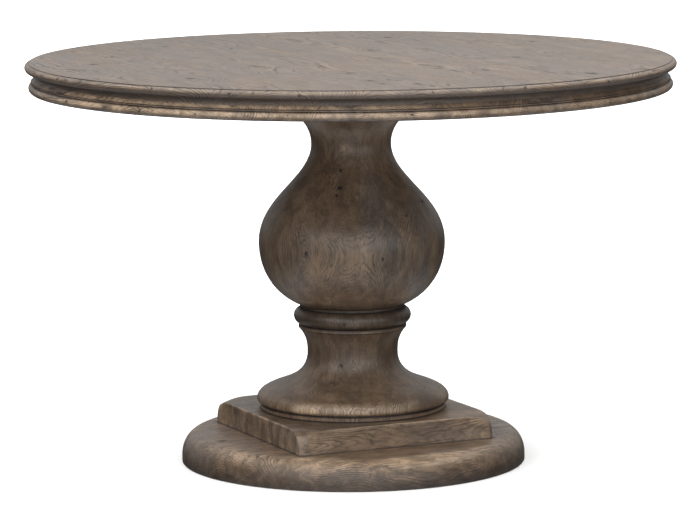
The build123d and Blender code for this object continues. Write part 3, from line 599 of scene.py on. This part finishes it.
def top_tone_painted_shade(shade):
    """Painted shade: the top is a little darker towards its back and its left, and on its bead's
    front.
    """
    def tone(g, x, y, z):
        depth = g.smooth(backward(x, y), -250.0, 560.0, shade, shade * 0.82)
        crest = g.rise(g.radius(x, y), (FIELD_RADIUS, FIELD_RADIUS + 3.0))
        crest = crest * facing(g, x, y, (300.0, 580.0))
        across = g.smooth(rightward(x, y), -580.0, 200.0, 0.86, 1.0)
        return depth * across * (1.0 - crest * 0.16)

    return tone


def top_board_knots(middle):
    """The knots that lie on a board, or so near that they show on it."""
    knots = []
    for kx, ky, radius in TOP_KNOTS:
        px, py = turned(kx, ky)
        if abs(px - middle) < TOP_BOARD_WIDTH * 0.5 + 2 * radius:
            knots.append((px, py, TOP_LEVEL, radius, *TOP_KNOT_STRETCH, TOP_KNOT_DARKNESS))
    reach = TOP_BOARD_WIDTH * 0.5 + 4.0
    return knots + edge_knots(SPOTS_SPLIT, TOP_LEVEL, lambda px, py: abs(px - middle) < reach)


for index in range(TOP_BOARDS):
    middle = board_middle(index, TOP_BOARDS, TOP_BOARD_WIDTH)
    pith_x = middle + draw.uniform(-30, 30)
    pith_z = TOP_LEVEL - draw.uniform(50, 95)
    made = oak_material(
        f"oak_top_{index + 1}",
        grain=along_y(pith_x, pith_z, any_shift()),
        seed=any_seed(),
        spacing=draw.uniform(4.2, 5.2),
        knots=top_board_knots(middle),
        wear_and_highlight=top_wear_and_highlight,
        painted_shade=top_painted_shade,
        tone=top_tone_painted_shade(draw.uniform(1.14, 1.21)),
        warmth=draw.uniform(0.38, 0.48),
        contrast=edge_contrast,
        mottle=0.17,
    )
    paint(f"top_board_{index + 1}", made)


# ---------------------------------------------------------------- the rim
RIM_PITH_RADIUS = 560.0
RIM_MIDDLE_LEVEL = 720.0
# half a segment's angle and a little more, for knots near a mitre
RIM_HALF_ANGLE = math.radians(23.5)

LOWER_BEAD_REACH = (596.0, 602.0)
LOWER_BEAD_FOOT = (711.5, 716.5)
LOWER_BEAD_HEAD = (721.0, 723.0)
UNDER_EDGE = (707.5, 711.0)
SWEEP_MIDDLE = 730.5
SWEEP_HALF = 6.5
SWEEP_INSIDE = (580.0, 590.0)
QUIRK_INSIDE = (575.0, 588.0)
LOWER_QUIRK, UPPER_QUIRK = (724.0, 1.2), (727.2, 1.3)


def rim_wear_and_highlight(g, x, y, z):
    """The lower bead and the sweep over it are rubbed pale, less so to the right; partly painted
    highlight, which gives the fall to the right and the paleness at the front and the back.
    """
    r = g.radius(x, y)
    bead = g.rise(r, LOWER_BEAD_REACH) * g.rise(z, LOWER_BEAD_FOOT) * g.fall(z, LOWER_BEAD_HEAD)
    bead = bead * g.smooth(rightward(x, y), 60.0, 440.0, 1.0, 0.5)
    sweep = g.band(z, SWEEP_MIDDLE, SWEEP_HALF) * g.rise(r, SWEEP_INSIDE)
    sweep = sweep * g.smooth(rightward(x, y), 40.0, 270.0, 1.0, 0.1)
    rubbed = rubbing(g, x, y, z, 0.017, (0.30, 0.58), 0.2, 1.0)
    return g.larger(bead, sweep) * rubbed * facing(g, x, y, (60.0, 360.0))


def rim_painted_shade(g, x, y, z):
    """Painted shade in the two quirks, under the edge and in the cove."""
    r = g.radius(x, y)
    quirks = g.larger(g.band(z, *LOWER_QUIRK), g.band(z, *UPPER_QUIRK))
    low = g.fall(z, UNDER_EDGE) * 0.6
    lines = g.larger(quirks, low) * g.rise(r, QUIRK_INSIDE) * 0.85
    return g.larger(lines, cove_painted_shade(g, z, r))


def rim_segment_knots(heading):
    least = math.cos(RIM_HALF_ANGLE)

    def inside(px, py):
        return Vector((px, py)).normalized().dot(heading) > least

    return edge_knots(SPOTS_BOTTOM, SPOTS_SPLIT, inside)


for index in range(RIM_SEGMENTS):
    angle = math.radians(360.0 / RIM_SEGMENTS * (index + 0.5))
    pith_x = RIM_PITH_RADIUS * math.cos(angle) + draw.uniform(-25, 25)
    pith_z = RIM_MIDDLE_LEVEL - draw.uniform(55, 90)
    made = oak_material(
        f"oak_rim_{index + 1}",
        grain=along_y(pith_x, pith_z, any_shift()),
        seed=any_seed(),
        spacing=draw.uniform(3.6, 4.4),
        knots=rim_segment_knots(Vector((math.cos(angle), math.sin(angle)))),
        wear_and_highlight=rim_wear_and_highlight,
        painted_shade=rim_painted_shade,
        tone=draw.uniform(0.92, 1.04),
        warmth=draw.uniform(0.38, 0.60),
        contrast=1.25,
        mottle=0.6,
    )
    paint(f"rim_segment_{index + 1}", made)


# ---------------------------------------------------------------- the column
# patches given as (right, back, level, half size right, back and up, amount)
# pale patches, partly worn and partly painted highlight, as on the front of the bulb
WORN_AND_HIGHLIT_PATCHES = [
    (-6, -75, 600, 13, 13, 15, 0.30), (6, -176, 404, 52, 60, 46, 0.22),
    (-2, -110, 272, 24, 30, 9, 0.55), (-95, -151, 119, 34, 30, 12, 0.50),
    (-62, -160, 385, 20, 40, 34, 0.16), (-150, 90, 410, 60, 60, 50, 0.26),
    (150, 95, 380, 50, 50, 60, 0.22), (40, 82, 590, 30, 30, 40, 0.2),
]
# two darker patches over the foot: painted shade on its front right, and a patch like it on its
# back left
DARKER_FOOT_PATCHES = [(140, -112, 124, 50, 60, 30, 0.44), (-130, 118, 126, 50, 60, 30, 0.25)]

# lines of painted shade round the column, in its quirks and joints, as (level, half width,
# amount), from the foot up
COLUMN_SHADE_LINES = [
    (100.4, 2.4, 0.95), (109.5, 3.0, 0.95), (253.6, 2.2, 0.6), (260.6, 3.2, 0.95),
    (293.0, 3.4, 0.95), (299.0, 5.0, 0.7), (680.0, 3.0, 0.6),
]

# (right, back, level, radius, stretch upright, darkness); one of darkness 0 only bends the rings
COLUMN_KNOTS = [
    (-20, -87, 560, 5.0, 1.5, 0.9), (-21, -110, 531, 7.0, 1.0, 0.95),
    (-27, -122, 518, 4.0, 1.4, 0.8), (-84, -154, 414, 5.5, 1.8, 0.85),
    (57, -166, 404, 4.5, 1.5, 0.8), (132, -53, 498, 5.0, 1.0, 0.85),
    (102, -118, 479, 3.2, 1.0, 0.7), (-22, -85, 192, 5.0, 1.3, 0.85),
    (-35, -107, 162, 14.0, 0.5, 0.55), (-16, -110, 274, 5.0, 0.9, 0.8),
    (-6, -75, 600, 11.0, 1.1, 0.0), (12, -165, 340, 4.0, 1.0, 0.5),
    (-60, 150, 450, 6.0, 1.5, 0.85), (90, 130, 360, 5.0, 1.3, 0.8),
    (165, 60, 430, 6.0, 1.4, 0.8), (-168, 40, 400, 5.0, 1.6, 0.8),
    (30, 80, 590, 5.0, 1.3, 0.8), (-80, 60, 180, 5.0, 1.2, 0.8),
]
# levels between which each turning's knots are looked for
COLUMN_PARTS = {"upper_turning": (293, 680), "collar_ring": (260, 293), "lower_turning": (99, 260)}

FOOT_REACH = (168.0, 181.5)
FOOT_BOTTOM = (107.0, 114.0)
FOOT_SHOULDER = (122.0, 150.0)
LIP_REACH = (144.0, 148.0)
LIP_BOTTOM = (660.0, 668.0)


def placed_patches(g, x, y, z, patches):
    """Soft patches, added together."""
    mask = 0.0
    for px, py, pz, sx, sy, sz, amount in patches:
        cx, cy = turned(px, py)
        near = g.scaled(g.join(x - cx, y - cy, z - pz), 1.0 / sx, 1.0 / sy, 1.0 / sz)
        mask = g.smooth(g.length(near), 0.25, 1.1, amount, 0.0) + mask
    return mask


def column_wear_and_highlight(g, x, y, z):
    """Rubbed pale on the foot's roll, on the lip under the top and in a few patches; partly
    painted highlight, which makes the foot palest at its front and left and brightens some
    patches.
    """
    r = g.radius(x, y)
    foot = g.rise(r, FOOT_REACH) * g.rise(z, FOOT_BOTTOM) * g.fall(z, FOOT_SHOULDER)
    foot = foot * facing(g, x, y, (110.0, 172.0))
    foot = foot * g.smooth(rightward(x, y), 40.0, 130.0, 1.0, 0.45)
    lip = g.rise(r, LIP_REACH) * g.rise(z, LIP_BOTTOM) * 0.5
    rubbed = rubbing(g, x, y, z, 0.015, (0.30, 0.62), 0.25, 0.85, roughness=0.55)
    return g.larger(foot, lip) * rubbed + placed_patches(g, x, y, z, WORN_AND_HIGHLIT_PATCHES)


def column_painted_shade(g, x, y, z):
    """Painted shade in the quirks and joints, and two darker patches over the foot, the front one
    painted shade.
    """
    painted_shade = 0.0
    for level, half, amount in COLUMN_SHADE_LINES:
        painted_shade = g.band(z, level, half) * amount + painted_shade
    return g.smaller(painted_shade + placed_patches(g, x, y, z, DARKER_FOOT_PATCHES), 1.0)


def column_painted_light_and_shade(g, z):
    """Painted light and shade: darker on the ring and above the foot, lighter on the neck and
    under the bulb.
    """
    neck = g.rise(z, (455.0, 560.0)) * 0.27
    under = g.band(z, 325.0, 40.0) * 0.24
    ring = g.rise(z, (258.0, 262.0)) * g.fall(z, (290.0, 294.0)) * 0.54
    hollow = g.band(z, 208.0, 56.0) * 0.20
    foot = g.fall(z, (125.0, 165.0)) * 0.13
    return neck + under + foot + (1.0 - ring) - hollow


def column_knots(low, high):
    knots = []
    for kx, ky, level, radius, tall, darkness in COLUMN_KNOTS:
        if low < level < high:
            knots.append((*turned(kx, ky), level, radius, 1.0, 1.0, tall, darkness))
    return knots


for index, (node, levels) in enumerate(COLUMN_PARTS.items()):
    made = oak_material(
        f"oak_{node}",
        grain=glued_column,
        seed=13.7 + 5.1 * index,
        spacing=2.6,
        knots=column_knots(*levels),
        wear_and_highlight=column_wear_and_highlight,
        painted_shade=column_painted_shade,
        tone=0.81,
        contrast=1.15,
        mottle=0.42,
    )
    paint(node, made)


# ---------------------------------------------------------------- the plinth
FOOT_FILLET_RADIUS = 174.5
PLINTH_CORNER = (236.0, 262.0)


def plinth_edge(g, x, y):
    """The larger of the distances from the plinth's two middle planes."""
    return g.larger(g.absolute(x), g.absolute(y))


def plinth_wear_and_highlight(g, x, y, z):
    """Rubbed pale along the upper arris and on the rolled corners, partly painted highlight on the
    edges.
    """
    arris = g.rise(plinth_edge(g, x, y), (PLINTH_HALF - 5.0, PLINTH_HALF - 0.5))
    arris = arris * g.rise(z, (PLINTH_TOP - 5.0, PLINTH_TOP - 0.5))
    corner = g.rise(g.radius(x, y), PLINTH_CORNER) * 0.30
    rubbed = rubbing(g, x, y, z, 0.02, (0.30, 0.60), 0.3, 1.0)
    return g.larger(arris * 0.8, corner) * rubbed


def plinth_painted_shade(g, x, y, z):
    """Painted shade round the column's foot and along the base."""
    foot = g.band(g.radius(x, y), FOOT_FILLET_RADIUS, 5.0)
    foot = foot * g.rise(z, (PLINTH_TOP - 1.0, PLINTH_TOP)) * 0.6
    low = g.fall(z, (BASE_TOP, BASE_TOP + 3.0)) * 0.7
    return g.larger(foot, low)


def plinth_tone_and_painted_sheen(g, x, y, z):
    """Upright streaks of stain on the two end-grain faces; painted sheen makes the flat lighter to
    the right and darker to the left.
    """
    ends = g.rise(g.absolute(x), (PLINTH_HALF - 3.0, PLINTH_HALF - 1.0))
    streaks = g.noise(g.join(y * 0.055, z * 0.012, 4.0), 2.0, 0.6)
    # painted sheen: the flat lighter to the right, darker to the left
    flat = g.rise(z, (PLINTH_TOP - 2.0, PLINTH_TOP - 0.5))
    flat = flat * g.smooth(rightward(x, y), -220.0, 220.0, -0.18, 0.26)
    return ends * g.smooth(streaks, 0.34, 0.68, -0.30, 0.34) + flat + 1.0


for index in range(PLINTH_BOARDS):
    middle = board_middle(index, PLINTH_BOARDS, PLINTH_BOARD_WIDTH)
    pith_y = middle + draw.choice((-1, 1)) * draw.uniform(70, 110)
    pith_z = 70.0 + draw.uniform(-20, 20)
    made = oak_material(
        f"oak_plinth_{index + 1}",
        grain=along_x(pith_y, pith_z, any_shift()),
        seed=any_seed(),
        spacing=draw.uniform(2.4, 3.0),
        wear_and_highlight=plinth_wear_and_highlight,
        painted_shade=plinth_painted_shade,
        tone=plinth_tone_and_painted_sheen,
        warmth=draw.uniform(0.58, 0.70),
        mottle=0.55,
    )
    paint(f"plinth_board_{index + 1}", made)


# ---------------------------------------------------------------- the base
# (x, y, level, radius, stretch along x, y and z, darkness)
BASE_KNOTS = [
    (*turned(-246, -108), BASE_TOP, 5.0, 1.6, 1.0, 1.0, 0.85),
    (*turned(60, -306), 42.0, 6.0, 2.0, 1.0, 1.0, 0.5),
]
ROLL_INSIDE = (270.0, 296.0)
ROLL_OUTSIDE = (310.0, 324.0)
ROLL_FOOT = (24.0, 36.0)


def base_wear_and_highlight(g, x, y, z):
    """Rubbed pale on the rounded edge, partly painted highlight, which makes it palest at the
    front and the back.
    """
    r = g.radius(x, y)
    roll = g.rise(r, ROLL_INSIDE) * g.fall(r, ROLL_OUTSIDE) * g.rise(z, ROLL_FOOT)
    roll = roll * (0.3 + facing(g, x, y, (150.0, 290.0)) * 0.7)
    return roll * rubbing(g, x, y, z, 0.013, (0.30, 0.60), 0.15, 0.64)


def base_painted_shade(g, x, y, z):
    """Painted shade along the plinth and near the floor."""
    seam = g.band(plinth_edge(g, x, y), PLINTH_HALF + 1.0, 5.0)
    seam = seam * g.rise(z, (BASE_TOP - 1.0, BASE_TOP)) * 0.7
    low = g.fall(z, (2.0, 26.0)) * 0.55
    return g.larger(seam, low)


def base_tone_painted_shade(g, x, y, z):
    """Painted shade: the wall and roll of the base are darker than its flat, and its left and
    right sides darker than its front and back.
    """
    shaded_sides = g.smooth(g.absolute(rightward(x, y)), 215.0, 310.0, 1.0, 0.74)
    roll = g.smooth(g.radius(x, y), 278.0, 300.0, 1.0, 0.92)
    return g.smooth(z, 22.0, 54.0, 0.73, 1.26) * shaded_sides * roll


for index in range(BASE_BOARDS):
    middle = board_middle(index, BASE_BOARDS, BASE_BOARD_WIDTH)
    pith_y, pith_z = middle + draw.uniform(-30, 30), -draw.uniform(20, 60)
    made = oak_material(
        f"oak_base_{index + 1}",
        grain=along_x(pith_y, pith_z, any_shift()),
        seed=any_seed(),
        spacing=draw.uniform(3.4, 4.2),
        knots=BASE_KNOTS,
        wear_and_highlight=base_wear_and_highlight,
        painted_shade=base_painted_shade,
        tone=base_tone_painted_shade,
        warmth=draw.uniform(0.62, 0.80),
        contrast=1.05,
        mottle=0.62,
    )
    paint(f"base_board_{index + 1}", made)


# ---------------------------------------------------------------- the unseen underframe
for node in ("front_batten", "rear_batten", "mounting_block", "head_plate"):
    pith_y, pith_z = draw.uniform(-60, 60), 640.0 + draw.uniform(-20, 20)
    made = oak_material(
        f"oak_{node}",
        grain=along_x(pith_y, pith_z, any_shift()),
        seed=any_seed(),
        spacing=3.4,
        tone=1.9,
        warmth=0.75,
        contrast=0.7,
    )
    paint(node, made)


# ================================================================ small parts
DULL_SPOT = rgba(0.16, 0.14, 0.11)


def grained_metal(name, colour, dull_colour, scale, roughness):
    """Plated steel: cloudy plating, fine drawn lines and dull spots."""
    material, g = new_material(name)
    place = in_mm(g)
    cloud = g.noise(g.scaled(place, 0.11), 3.0, 0.6)
    grit = g.noise(g.scaled(place, scale, scale, scale * 0.2), 2.0, 0.6)
    spots = g.smooth(g.noise(g.scaled(place, 0.6), 2.0, 0.6), 0.60, 0.72)
    tint = g.mix(g.smooth(cloud, 0.35, 0.7), colour, dull_colour)
    tint = g.mix(spots * 0.6, tint, DULL_SPOT)
    uneven = roughness + (cloud - 0.5) * 0.3 + spots * 0.25
    surface(g, tint, uneven, grit * 0.06 - spots * 0.05, metallic=1.0)
    return material


def beech_material():
    """Pale beech with fine flecks."""
    material, g = new_material("beech")
    place = in_mm(g)
    fleck = g.noise(g.scaled(place, 1.2, 1.2, 0.12), 3.0, 0.6)
    cloud = g.noise(g.scaled(place, 0.08, 0.08, 0.02), 2.0, 0.5)
    tint = g.mix(g.smooth(fleck, 0.35, 0.7), rgba(0.50, 0.32, 0.17), rgba(0.34, 0.19, 0.09))
    tint = g.mix(cloud * 0.4, tint, rgba(0.55, 0.38, 0.22))
    surface(g, tint, 0.55 + fleck * 0.15, fleck * 0.08)
    return material


def nylon_material():
    """Black moulded nylon with scuffs."""
    material, g = new_material("nylon")
    place = in_mm(g)
    texture = g.noise(g.scaled(place, 1.4), 3.0, 0.6)
    scuff = g.smooth(g.noise(g.scaled(place, 0.25, 0.9, 0.9), 3.0, 0.6), 0.52, 0.72)
    tint = g.mix(scuff, rgba(0.016, 0.016, 0.017), rgba(0.06, 0.058, 0.055))
    surface(g, tint, 0.46 + texture * 0.16 + scuff * 0.15, texture * 0.08)
    return material


ZINC = grained_metal("zinc", rgba(0.62, 0.63, 0.64), rgba(0.42, 0.43, 0.45), 0.9, 0.30)
SCREW = grained_metal(
    "passivated_steel", rgba(0.52, 0.43, 0.25), rgba(0.36, 0.33, 0.27), 1.4, 0.34
)
PAINTED_BY_SLOT = {
    "beech_dowel": beech_material(),
    "screw_steel": SCREW,
    "zinc_steel": ZINC,
    "nylon": nylon_material(),
}
for part in frame["record"]["subparts"]:
    if part["material_slot"] in PAINTED_BY_SLOT:
        paint(part["node"], PAINTED_BY_SLOT[part["material_slot"]])


# ================================================================ studio
FLOOR_HALF = 90.0
FLOOR_LEVEL = -0.0004

# brightness of the panels, by where they hang
FRONT_LOW = 0.5
FRONT_MIDDLE = 3.1
FRONT_HIGH = 2.5
LEFT_MIDDLE = 0.6
LEFT_HIGH = 4.1
RIGHT_MIDDLE = 3.2
RIGHT_HIGH = 0.4
BACK_MIDDLE = 0.45
BACK_HIGH = 0.70
OVERHEAD = 3.0
GROUND = 1.0
AMBIENT = 0.07

# soft edges of the panels, as parts of a direction of length 1: to the front, side, back and up
FRONT_EDGE = (0.75, 0.93)
OBLIQUE_EDGE = (0.35, 0.55)
SIDE_EDGE = (0.1, 0.3)
BACK_EDGE = (0.35, 0.55)
LOW_EDGE = (-0.06, 0.02)
HIGH_EDGE = (0.22, 0.34)
OVERHEAD_EDGE = (0.60, 0.75)
GROUND_EDGE = (0.35, 0.75)


def make_floor():
    """Wide pale floor, clear from below so that the underside can be looked at."""
    mesh = bpy.data.meshes.new("floor")
    h = FLOOR_HALF
    mesh.from_pydata([(-h, -h, 0), (h, -h, 0), (h, h, 0), (-h, h, 0)], [], [(0, 1, 2, 3)])
    floor = bpy.data.objects.new("floor", mesh)
    floor.location.z = FLOOR_LEVEL
    bpy.context.scene.collection.objects.link(floor)
    material, g = new_material("floor")
    place = g.out(g.node("ShaderNodeTexCoord"), "Object")
    cloud = g.noise(g.scaled(place, 0.6), 3.0, 0.5)
    tint = g.mix(cloud, rgba(0.92, 0.92, 0.92), rgba(0.95, 0.95, 0.95))
    diffuse = g.node("ShaderNodeBsdfDiffuse", {"Color": tint})
    clear = g.node("ShaderNodeBsdfTransparent")
    behind = g.out(g.node("ShaderNodeNewGeometry"), "Backfacing")
    both = g.node("ShaderNodeMixShader", {0: behind, 1: g.out(diffuse), 2: g.out(clear)})
    g.feed(g.node("ShaderNodeOutputMaterial").inputs["Surface"], g.out(both))
    mesh.materials.append(material)
    floor.visible_diffuse = False
    floor.visible_glossy = False


def make_world():
    """Studio of soft panels in front, overhead and at the sides, with a white backdrop."""
    world = bpy.data.worlds.new("studio")
    bpy.context.scene.world = world
    world.use_nodes = True
    world.node_tree.nodes.clear()
    g = Graph(world.node_tree)
    x, y, up = g.split(g.out(g.node("ShaderNodeTexCoord"), "Generated"))
    flat = g.radius(x, y) + 0.0001
    away = backward(x, y) / flat
    across = rightward(x, y) / flat
    near, leftward, down = 0.0 - away, 0.0 - across, 0.0 - up

    front = g.rise(near, FRONT_EDGE)
    oblique = g.rise(near, OBLIQUE_EDGE) * g.fall(near, FRONT_EDGE)
    left, right = oblique * g.rise(leftward, SIDE_EDGE), oblique * g.rise(across, SIDE_EDGE)
    behind = g.rise(away, BACK_EDGE)
    below = g.fall(up, LOW_EDGE)
    middle = g.rise(up, LOW_EDGE) * g.fall(up, HIGH_EDGE)
    high = g.rise(up, HIGH_EDGE) * g.fall(up, OVERHEAD_EDGE)

    middles = front * FRONT_MIDDLE + left * LEFT_MIDDLE + right * RIGHT_MIDDLE
    highs = front * FRONT_HIGH + left * LEFT_HIGH + right * RIGHT_HIGH
    light = middle * (middles + behind * BACK_MIDDLE)
    light = high * (highs + behind * BACK_HIGH) + light
    light = g.rise(up, OVERHEAD_EDGE) * OVERHEAD + light
    light = g.rise(down, GROUND_EDGE) * GROUND + below * front * FRONT_LOW + light + AMBIENT
    seen = g.out(g.node("ShaderNodeLightPath"), "Is Camera Ray")
    white = rgba(1.0, 1.0, 1.0)
    strength = g.mix(seen, light, white)
    background = g.node("ShaderNodeBackground", {"Color": white, "Strength": strength})
    g.feed(g.node("ShaderNodeOutputWorld").inputs["Surface"], g.out(background))


CAMERA_PLACE = (0.0, -7.332, 1.4421)
CAMERA_PITCH, CAMERA_YAW, CAMERA_ROLL = 8.257, -0.029, -0.429
FOCAL_PIXELS = 3925.6
IMAGE_WIDTH = 700.0
SENSOR_WIDTH = 36.0


def make_camera():
    """Long lens, a little above the top, 25 degrees off the plinth's front."""
    pitch, yaw, roll = (math.radians(a) for a in (CAMERA_PITCH, CAMERA_YAW, CAMERA_ROLL))
    up = Vector((0, 0, 1))
    forward = Vector((math.sin(yaw), math.cos(yaw), 0))
    right = Vector((math.cos(yaw), -math.sin(yaw), 0))
    aim = math.cos(pitch) * forward - math.sin(pitch) * up
    top = math.cos(pitch) * up + math.sin(pitch) * forward
    side = math.cos(roll) * right + math.sin(roll) * top
    top = math.cos(roll) * top - math.sin(roll) * right
    data = bpy.data.cameras.new("camera")
    data.sensor_width = SENSOR_WIDTH
    data.lens = SENSOR_WIDTH * FOCAL_PIXELS / IMAGE_WIDTH
    data.clip_start, data.clip_end = 0.5, 300.0
    camera = bpy.data.objects.new("camera", data)
    pose = Matrix((side, top, -aim)).transposed().to_4x4()
    pose.translation = Vector(CAMERA_PLACE)
    camera.matrix_world = Matrix.Rotation(VIEW_TURN, 4, "Z") @ pose
    bpy.context.scene.collection.objects.link(camera)
    bpy.context.scene.camera = camera


make_floor()
make_world()
make_camera()
bpy.context.scene.view_settings.view_transform = "Standard"
